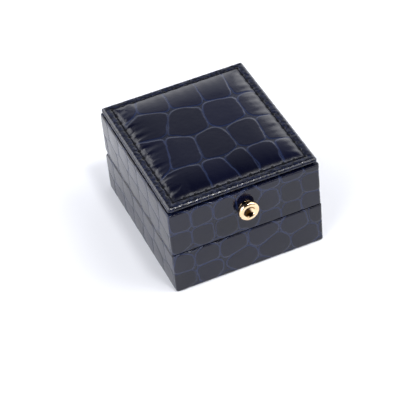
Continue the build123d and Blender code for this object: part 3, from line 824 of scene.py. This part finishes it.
# %% Stitches round the panel
spots, turns = [], []
for count, pitch, reach, other, heading in (
    (STITCHES_X, PITCH_X, STITCH_REACH_X, STITCH_REACH_Y, 0.0),
    (STITCHES_Y, PITCH_Y, STITCH_REACH_Y, STITCH_REACH_X, math.pi / 2),
):
    for k in range(count):
        run = -reach + (k + 0.5) * pitch
        for side in (-1, 1):
            x, y = (side * other, run) if heading else (run, side * other)
            spots.append((x, y, float(panel_height(x, y, SEAM_INSET)) + 0.4 * THREAD_RADIUS))
            turns.append((0, 0, heading))
marks = new_piece("panel_stitches", spots, [])
point_values(marks, "turn", "FLOAT_VECTOR", turns)
stitches = grow(
    marks, stitch_tree(), Stitch_length=STITCH_LENGTH * MM, Thread_radius=THREAD_RADIUS * MM, Twists=1.5,
    Finish=thread,
)
print(len(stitches.data.polygons), "faces in", len(spots), "stitches")
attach(stitches, "lid")

# %% [markdown]
# ## The push button
# Turned brass, polished and plated pale gold: a wide head with a cup turned into its face, on a barrel that
# slides in a flanged bush in the lid's front wall. Turned parts are drawn as a lathe sees them, a line of
# radius against length, and carried once round the axis.

# %% Gold plate finish
def gold_finish():
    """Polished plate: mirror-like, with the faint rings that the lathe and the buff leave, and painted shade in
    dark amber where a point asks for it.
    """
    made, tree, shader, place = finish("polished pale gold plate")
    worn = add(tree, "TexNoise", place, 0.42 / MM, 3.0)
    plate = add(tree, "ValToRGB", worn, stops=[(0.3, "#F5D3A6"), (0.7, "#FCE3BE")])
    # The barrel, the head's side and one side of the cup are painted dark amber: painted shade and dark
    # reflection, where polished gold would mirror the dim room.
    hollow = add(tree, "Attribute", attribute_name="hollow").outputs["Fac"]
    shade_painted_plate = add(tree, "Mix", data_type="RGBA")
    feed(shade_painted_plate, hollow, plate, swatch("#3A2409"))
    smear = add(tree, "MapRange", worn, To_Min=0.05, To_Max=0.16)
    rings = add(tree, "TexWave", place, 0.7 / MM, 0.6, wave_type="RINGS", rings_direction="Y").outputs["Fac"]
    relief = add(tree, "Bump", 0.03, 0.02 * MM, Height=rings)
    feed(shader, shade_painted_plate, 1.0, smear, Normal=relief)
    return made


gold = gold_finish()

# %% Turned parts
button_low, button_high = box_mm("push_button")
bush_back = lid_low.y - box_mm("button_ferrule")[1].y
BUTTON_Z = (button_low.z + button_high.z) / 2
WALL_Y = lid_low.y
HEAD_OUT = WALL_Y - button_low.y
HEAD_BACK = HEAD_OUT - 1.65
KNOB_RADIUS, BARREL_RADIUS = 3.6, 2.2
CUP_RADIUS, CUP_DEPTH = 2.15, 1.1
BUSH_RADIUS, BUSH_BORE, BUSH_OUT = 2.7, 2.26, 0.42


def turned(name, profile, material, around=64):
    """Carry a line of (radius, out from the front wall) once round the button's axis, closed at both ends."""
    points, rings, faces = [], [], []
    for radius, out in profile:
        count = around if radius else 1
        rings.append([len(points) + k % count for k in range(around)])
        for angle in (2 * math.pi * k / around for k in range(count)):
            points.append((radius * math.cos(angle), WALL_Y - out, BUTTON_Z + radius * math.sin(angle)))
    for one, two in zip(rings, rings[1:]):
        for k in range(around):
            after = (k + 1) % around
            faces.append(list(dict.fromkeys((one[k], one[after], two[after], two[k]))))
    return new_piece(name, points, faces, material)


def rounded(radius, out, amount, start, end, steps=5):
    """Points of a small rounded corner about a centre drawn in from the corner (radius, out)."""
    angles = [math.radians(start + (end - start) * k / steps) for k in range(steps + 1)]
    return [(radius - amount + amount * math.cos(a), out - amount + amount * math.sin(a)) for a in angles]


cup_curve = (CUP_RADIUS ** 2 + CUP_DEPTH ** 2) / (2 * CUP_DEPTH)
cup_turns = [math.asin(CUP_RADIUS / cup_curve) * k / 10 for k in range(10, -1, -1)]
head = [(0, WALL_Y - button_high.y), (BARREL_RADIUS, WALL_Y - button_high.y), (BARREL_RADIUS, HEAD_BACK - 0.05)]
head += [(2.3, HEAD_BACK), (3.4, HEAD_BACK), (3.55, HEAD_BACK + 0.06), (KNOB_RADIUS, HEAD_BACK + 0.2)]
head += rounded(KNOB_RADIUS, HEAD_OUT, 0.95, 0, 90, 12)
head += [(2.5, HEAD_OUT - 0.015), (2.35, HEAD_OUT - 0.03), (2.25, HEAD_OUT - 0.06)]
head += [(cup_curve * math.sin(a), HEAD_OUT - 0.1 - CUP_DEPTH + cup_curve * (1 - math.cos(a))) for a in cup_turns]
button = turned("gold_button", head, gold, 96)
bush = [(BUSH_BORE, bush_back), (BUSH_RADIUS, bush_back), (BUSH_RADIUS, 0.1), (BUSH_RADIUS, 0.25)]
bush += rounded(BUSH_RADIUS, BUSH_OUT, 0.15, 0, 90)
bush += [(2.4, BUSH_OUT), (2.3, BUSH_OUT - 0.04), (BUSH_BORE, 0.3), (BUSH_BORE, bush_back)]
ferrule = turned("gold_bush", bush, gold)

# %% Where shade is painted on the gold
spots = places(button.data) / MM
depth = spots[:, 1] - (WALL_Y - HEAD_OUT)
in_cup = (np.hypot(spots[:, 0], spots[:, 2] - BUTTON_Z) < CUP_RADIUS + 0.05) & (depth < 2)
lean = (-0.85 * spots[:, 0] - 0.35 * (spots[:, 2] - BUTTON_Z)) / CUP_RADIUS
# The cup's lower left side is painted dark as shade and dark reflection; behind the front rim the barrel and the
# head's side are painted dark as shade.
painted_pool_shade = smooth_step(lean, -0.5, -0.1) * np.clip((depth - 0.1) / 0.25, 0, 1)
point_values(button, "hollow", "FLOAT", np.where(in_cup, painted_pool_shade, 0.92 * np.clip((depth - 0.9) / 0.3, 0, 1)))
# The bush is painted dark too, as the shade behind the head.
point_values(ferrule, "hollow", "FLOAT", np.full(len(ferrule.data.vertices), 0.8))
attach(button, "button")
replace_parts(button, "push_button")
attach(ferrule, "lid")
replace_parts(ferrule, "button_ferrule")
print("button reaches", round(HEAD_OUT, 2), "mm out at height", round(BUTTON_Z, 1))

# %% [markdown]
# ## The lining
# Ivory satin is glued round strips of card, and the strips line both halves. The card's edges show as soft
# rounded corners. Each packed strip is taken as one skin, its flat faces are joined and its edges rounded.
# Satin has long threads on its face, so it shines along them; its gloss and its colour break into fine streaks,
# the colour's streaks being painted sheen.

# %% Satin and velvet finishes
def satin_finish():
    """Acetate satin: painted sheen in fine streaks of colour along the thread, a soft gloss, and slow shallow
    ripples.
    """
    made, tree, shader, place = finish("ivory satin")
    drawn = add(tree, "Mapping", place, Scale=(0.3, 2.0, 2.6))
    threads = add(tree, "TexNoise", drawn, 5.2 / MM, 2.0)
    ripples = add(tree, "TexNoise", place, 0.13 / MM, 2.0)
    # The colour's light and dark streaks along the threads are painted sheen.
    base_tint = add(tree, "ValToRGB", threads, stops=[(0.3, "#DCCFB6"), (0.7, "#F4ECDC")])
    gloss = add(tree, "MapRange", threads, To_Min=0.28, To_Max=0.5)
    weave = add(tree, "Bump", 0.25, 0.05 * MM, Height=threads)
    relief = add(tree, "Bump", 0.3, MM, Height=ripples, Normal=weave)
    feed(shader, base_tint, Roughness=gloss, Sheen_Weight=0.25, Normal=relief)
    return made


def velvet_finish():
    """Cotton velvet: short dense pile, bright at grazing angles, with patches of painted sheen where the nap lies
    another way.
    """
    made, tree, shader, place = finish("ivory velvet")
    pile = add(tree, "TexNoise", place, 4.2 / MM, 3.0, 0.7)
    # Slow patches of painted sheen, lighter and darker, where the nap would catch the light another way.
    nap_sheen = add(tree, "TexNoise", place, 0.09 / MM, 3.0, Distortion=0.8)
    both = add(tree, "Math MULTIPLY_ADD", pile, 0.45, nap_sheen)
    base_tint = add(tree, "ValToRGB", both, stops=[(0.5, "#C9BCA2"), (0.95, "#EFE6D2")])
    relief = add(tree, "Bump", 0.5, 0.15 * MM, Height=pile)
    feed(
        shader, base_tint, Roughness=0.95, Specular_IOR_Level=0.1, Sheen_Weight=0.8, Sheen_Roughness=0.4, Normal=relief,
    )
    return made


satin, velvet = satin_finish(), velvet_finish()

# %% Lining strips
def softened(name, node, amount, material):
    """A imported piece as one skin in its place: doubles merged, flat faces joined, edges rounded."""
    form = bmesh.new()
    form.from_mesh(bpy.data.objects[node].data)
    bmesh.ops.remove_doubles(form, verts=form.verts, dist=0.001 * MM)
    bmesh.ops.dissolve_limit(form, angle_limit=math.radians(1), verts=form.verts, edges=form.edges)
    folds = [e for e in form.edges if len(e.link_faces) == 2 and e.calc_face_angle() > math.radians(30)]
    bmesh.ops.bevel(
        form, geom=folds, offset=amount * MM, segments=3, profile=0.5, affect="EDGES", clamp_overlap=True,
    )
    piece = piece_of(name, form)
    piece.data.shade_smooth()
    piece.data.materials.append(material)
    crisp = piece.modifiers.new("even light", "WEIGHTED_NORMAL")
    crisp.weight = 100
    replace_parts(keep_result(piece, crisp), node)
    return piece


LINERS = {
    "base": ("base_liner_front", "base_liner_rear", "base_liner_left", "base_liner_right"),
    "lid": (
        "lid_liner_front_left", "lid_liner_front_right", "lid_liner_rear", "lid_liner_left", "lid_liner_right",
    ),
}
for body, strips in LINERS.items():
    for strip in strips:
        lining = softened(strip.replace("liner", "satin"), strip, 0.35, satin)
        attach(lining, body)
        print(lining.name, len(lining.data.polygons), "faces")

# %% [markdown]
# ## Pad and cushion
# The pad that the pendant lies on is velvet over foam, and the lid has a satin cushion. Both are drawn tight
# round a card, so they are flat on the card's side and crowned on the other. Cloth is simulated for this: a
# plain block, slightly too small, is remeshed to an even net, held at the card and blown up for twenty
# steps. The work is done at ten times the size, because the solver's steps suit things of half a metre.
# Then the pad is spread until it meets the lining round it.

# %% Blowing up a pad
PAD_SCALE = 10
NET_SIZE = 0.75
HELD_DEPTH = 0.3
LINING_GAP = 0.05
CLOTH_STEPS = 20


def pad_net(name, low, high, edge):
    """A block with rounded edges, remeshed to an even net, at the working scale."""
    form = bmesh.new()
    bmesh.ops.create_cube(form, size=1.0)
    middle, span = (low + high) / 2, high - low
    for corner in form.verts:
        corner.co = Vector([m + c * s for m, c, s in zip(middle, corner.co, span)]) * MM * PAD_SCALE
    bmesh.ops.bevel(
        form, geom=form.edges[:], offset=edge * MM * PAD_SCALE, segments=4, profile=0.5, affect="EDGES",
    )
    piece = piece_of(name, form)
    net = piece.modifiers.new("net", "REMESH")
    net.mode = "VOXEL"
    net.voxel_size = NET_SIZE * MM * PAD_SCALE
    return keep_result(piece, net)


def blown_up(name, low, high, edge, card_side, cap, pressure=4.0):
    """A pad blown up from this block, held on its card's side (-1 below, 1 above), no point moved past cap."""
    piece = pad_net(name, low, high, edge)
    start = places(piece.data)
    card = (low.z if card_side < 0 else high.z) * MM * PAD_SCALE
    held = piece.vertex_groups.new(name="held")
    near_card = np.flatnonzero(np.abs(start[:, 2] - card) < HELD_DEPTH * MM * PAD_SCALE)
    held.add([int(k) for k in near_card], 1.0, "REPLACE")
    swell = piece.modifiers.new("swell", "CLOTH")
    swell.settings.use_pressure = True
    swell.settings.uniform_pressure_force = pressure
    swell.settings.effector_weights.gravity = 0.0
    swell.settings.vertex_group_mass = "held"
    swell.settings.quality = 6
    swell.collision_settings.use_collision = False
    swell.point_cache.frame_start, swell.point_cache.frame_end = 1, CLOTH_STEPS
    for step in range(1, CLOTH_STEPS + 1):
        bpy.context.scene.frame_set(step)
    seen = piece.evaluated_get(bpy.context.evaluated_depsgraph_get())
    moved = places(seen.data) - start
    piece.modifiers.remove(swell)
    piece.vertex_groups.clear()
    bpy.context.scene.frame_set(1)
    length = np.linalg.norm(moved, axis=1)
    limit = cap * MM * PAD_SCALE
    eased = limit * np.tanh(length / limit)
    start = start + moved * (eased / np.maximum(length, 1e-9))[:, None]
    print(name, len(start), "points, blown up by", round(length.max() / MM / PAD_SCALE, 2), "mm at most")
    piece.data.vertices.foreach_set("co", (start / PAD_SCALE).ravel())
    piece.data.update()
    return piece


def fill_lining(piece, side_strip, rear_strip):
    """A pad's points in millimetres, spread evenly until its fullest places just meet the lining."""
    spots = places(piece.data) / MM
    reach = np.array([box_mm(side_strip)[0].x, box_mm(rear_strip)[0].y]) - LINING_GAP
    spots[:, :2] *= reach / np.abs(spots[:, :2]).max(0)
    return spots


def finish_pad(piece, material, body, node):
    piece.data.shade_smooth()
    piece.data.materials.clear()
    piece.data.materials.append(material)
    finer = piece.modifiers.new("finer", "SUBSURF")
    finer.levels = finer.render_levels = 1
    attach(piece, body)
    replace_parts(piece, node)


# %% The pendant's pad
pad_low, pad_high = box_mm("pendant_pad")
block_high = Vector((pad_high.x - 0.3, pad_high.y - 0.3, pad_high.z - 1.1))
pad = blown_up("velvet_pad", pad_low + Vector((0.3, 0.3, 0)), block_high, edge=1.1, card_side=-1, cap=1.3)
spots = fill_lining(pad, "base_liner_right", "base_liner_rear")
spots[:, 2] = np.clip(spots[:, 2], pad_low.z, None)
put(pad, spots)
print("velvet pad's top", round(spots[:, 2].max(), 2), "mm, packed", round(pad_high.z, 2))

# %% [markdown]
# Two slits at the pad's rear edge take the chain, which hangs in the hollow below. They are cut through
# the finished net, because the remesh would have closed a slot of this width.

# %% Chain slits
SLIT_X, SLIT_HALF, SLIT_START = 8.5, 0.6, 18.25
points, faces = [], []
for side in (-1, 1):
    half_turn = np.linspace(-math.pi / 2, math.pi / 2, 9)
    around = [(SLIT_HALF * math.sin(a), -SLIT_HALF * math.cos(a)) for a in half_turn]
    outline = [(side * SLIT_X + u, SLIT_START + SLIT_HALF + v) for u, v in around]
    outline += [(side * SLIT_X + SLIT_HALF, pad_high.y + 3), (side * SLIT_X - SLIT_HALF, pad_high.y + 3)]
    base, count = len(points), len(outline)
    points += [(x, y, z) for z in (pad_low.z - 2, pad_high.z + 3) for x, y in outline]
    for k in range(count):
        after = (k + 1) % count
        faces.append([base + k, base + after, base + count + after, base + count + k])
    faces += [list(range(base, base + count)), list(range(base + count, base + 2 * count))]
cutter = new_piece("slit cutter", points, faces)
cut = pad.modifiers.new("slits", "BOOLEAN")
cut.operation, cut.solver, cut.object = "DIFFERENCE", "EXACT", cutter
keep_result(pad, cut)
bpy.data.objects.remove(cutter)
finish_pad(pad, velvet, "base", "pendant_pad")

# %% The lid's cushion
cushion_low, cushion_high = box_mm("lid_cushion")
card_reach = box_mm("lid_cushion_card")[1]
block_low = Vector((-card_reach.x + 0.6, -card_reach.y + 0.6, cushion_low.z + 1.2))
block_high = Vector((card_reach.x - 0.6, card_reach.y - 0.6, cushion_high.z))
cushion = blown_up("satin_cushion", block_low, block_high, edge=0.9, card_side=1, cap=1.5)
spots = fill_lining(cushion, "lid_liner_right", "lid_liner_rear")
gap_x, gap_y = card_reach.x - np.abs(spots[:, 0]), card_reach.y - np.abs(spots[:, 1])
run = np.where(gap_x < gap_y, spots[:, 1], spots[:, 0])
fold = np.sin(run * 1.25 + 0.8 * np.sin(run * 0.37)) * np.exp(-np.maximum(np.minimum(gap_x, gap_y), 0) / 2.5)
spots[:, 2] += 0.16 * fold * np.clip((cushion_high.z - spots[:, 2]) / 1.5, 0, 1)
spots[:, 2] = np.clip(spots[:, 2], cushion_low.z - 0.3, cushion_high.z)
put(cushion, spots)
print("satin cushion hangs to", round(spots[:, 2].min(), 2), "mm, packed", round(cushion_low.z, 2))
finish_pad(cushion, satin, "lid", "lid_cushion")

# %% [markdown]
# ## Screws
# Four pairs of small countersunk screws hold the leaves, the catch and the spring. A screw is a turned cone
# with a slot sawn across it. They repeat, so Geometry Nodes make one and stand it on each place, every slot
# left at its own angle, as a screwdriver leaves them.

# %% Metal finishes
def brushed_finish(name, dark, light, roughness, grain):
    """Plain metal brushed along one way: fine scratches in its colour's depth, its gloss and its relief."""
    made, tree, shader, place = finish(name)
    scratches = add(tree, "TexNoise", add(tree, "Mapping", place, Scale=grain), 1.5 / MM, 3.0)
    metal = add(tree, "ValToRGB", scratches, stops=[(0.3, dark), (0.7, light)])
    gloss = add(tree, "MapRange", scratches, To_Min=roughness - 0.1, To_Max=roughness + 0.1)
    relief = add(tree, "Bump", 0.2, 0.02 * MM, Height=scratches)
    feed(shader, metal, 1.0, gloss, Normal=relief)
    return made


brass = brushed_finish("satin brass", "#A87E3C", "#D9B26C", 0.34, (0.15, 1.0, 1.0))
steel = brushed_finish("bright spring steel", "#8E9096", "#C9CBD0", 0.3, (1.0, 1.0, 0.15))

# %% The screw tree
HEAD_RADIUS, SHANK_RADIUS, SLOT = 0.95, 0.45, 0.26


def screw_tree():
    """A slotted countersunk screw on every point, its head's face along the point's turned Z."""
    tree, given = open_tree(
        "countersunk screws", "Head radius", "Shank radius", "Length", "Slot width", Finish="Material",
    )
    depth = add(tree, "Math SUBTRACT", given["Head radius"], given["Shank radius"])
    rest = add(tree, "Math SUBTRACT", given["Length"], depth)
    tip = add(tree, "Math MULTIPLY", given["Shank radius"], 0.3)
    cone = add(
        tree, "MeshCone", 28, Radius_Top=given["Head radius"], Radius_Bottom=given["Shank radius"], Depth=depth,
    )
    shank = add(tree, "MeshCone", 16, Radius_Top=given["Shank radius"], Radius_Bottom=tip, Depth=rest)
    head_part, shank_part = (
        add(tree, "Transform", part, add(tree, "CombineXYZ", Z=add(tree, "Math MULTIPLY", down, -1.0)))
        for part, down in ((cone, depth), (shank, given["Length"]))
    )
    long = add(tree, "Math MULTIPLY", given["Head radius"], 2.4)
    deep = add(tree, "Math MULTIPLY", given["Slot width"], 1.5)
    saw = add(tree, "MeshCube", add(tree, "CombineXYZ", long, given["Slot width"], deep))
    screw = add(tree, "JoinGeometry", add(tree, "MeshBoolean DIFFERENCE", head_part, saw))
    feed(screw, shank_part)
    turn = add(tree, "InputNamedAttribute", "turn", data_type="FLOAT_VECTOR")
    placed = add(tree, "InstanceOnPoints", given["Geometry"], Instance=screw, Rotation=turn)
    twist = add(tree, "CombineXYZ", Z=add(tree, "RandomValue", 0.0, math.pi, Seed=4))
    driven = add(tree, "RotateInstances", placed, Rotation=twist)
    return close_tree(tree, driven, given["Finish"])


# %% Screws in their places
screwing = screw_tree()
Y, Z = 1, 2
for node, body, axis, facing in (
    ("hinge_screws_base", "base", Y, -1), ("hinge_screws_lid", "lid", Y, -1),
    ("strike_screws", "base", Y, 1), ("latch_screws", "lid", Z, -1),
):
    low, high = box_mm(node)
    middle = (low + high) / 2
    middle[axis] = (high if facing > 0 else low)[axis]
    reach = high.x - HEAD_RADIUS
    turn = (-facing * math.pi / 2, 0, 0) if axis == Y else (math.pi, 0, 0)
    spots = [(x, middle.y, middle.z) for x in (-reach, reach)]
    marks = new_piece(node.replace("screws", "slotted_screws"), spots, [])
    point_values(marks, "turn", "FLOAT_VECTOR", [turn] * 2)
    pair = grow(
        marks, screwing, Head_radius=HEAD_RADIUS * MM, Shank_radius=SHANK_RADIUS * MM,
        Length=(high - low)[axis] * MM, Slot_width=SLOT * MM, Finish=brass,
    )
    pair.data.shade_flat()
    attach(pair, body)
    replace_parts(pair, node)
    print(pair.name, len(pair.data.polygons), "faces, face at", "xyz"[axis], round(middle[axis], 2))

# %% [markdown]
# ## Spring latch
# A strip of spring steel hangs from the lid's top behind the button and carries the nose that catches in the
# base. On the real box pressing the button bends it inwards about its foot, so its lower part follows the button;
# here it is one fixed piece with softened edges.

latch = softened("latch_strip", "latch_spring", 0.06, steel)
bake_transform(latch)

# %% [markdown]
# ## Boards, paper and plain hardware
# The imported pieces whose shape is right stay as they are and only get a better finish: fibre board under the
# skin, grey card in the fittings, a black paper sheet under the base, and plain metal hardware.

# %% Board, card and paper finishes
def fibre_finish(name, dark, light, flecks_in_mm, roughness, relief_mm):
    """Pressed fibre: short flecks of two shades with a slightly rough surface."""
    made, tree, shader, place = finish(name)
    flecks = add(tree, "TexNoise", place, flecks_in_mm / MM, 5.0, 0.7, Distortion=0.4)
    tint = add(tree, "ValToRGB", flecks, stops=[(0.35, dark), (0.65, light)])
    relief = add(tree, "Bump", 0.4, relief_mm * MM, Height=flecks)
    feed(shader, tint, Roughness=roughness, Specular_IOR_Level=0.25, Normal=relief)
    return made


fibre_board = fibre_finish("pressed fibre board", "#8D6A44", "#C29A6C", 1.3, 0.8, 0.08)
grey_card = fibre_finish("grey card", "#7F7A72", "#A9A39A", 2.2, 0.85, 0.04)
black_paper = fibre_finish("black leather-grain paper", "#0B0B0D", "#1D1D21", 1.6, 0.55, 0.1)


def dress(material, *nodes):
    """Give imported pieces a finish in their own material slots."""
    for name in nodes:
        for held in bpy.data.objects[name].material_slots:
            held.material = material


dress(fibre_board, "base_carcass", "lid_carcass")
dress(grey_card, "pad_riser", "pad_board", "lid_cushion_card", "panel_board")
dress(black_paper, "underside_sheet")
dress(brass, "hinge_leaf_base", "hinge_leaf_lid", "strike_plate")
dress(steel, "hinge_pin", "button_collar")
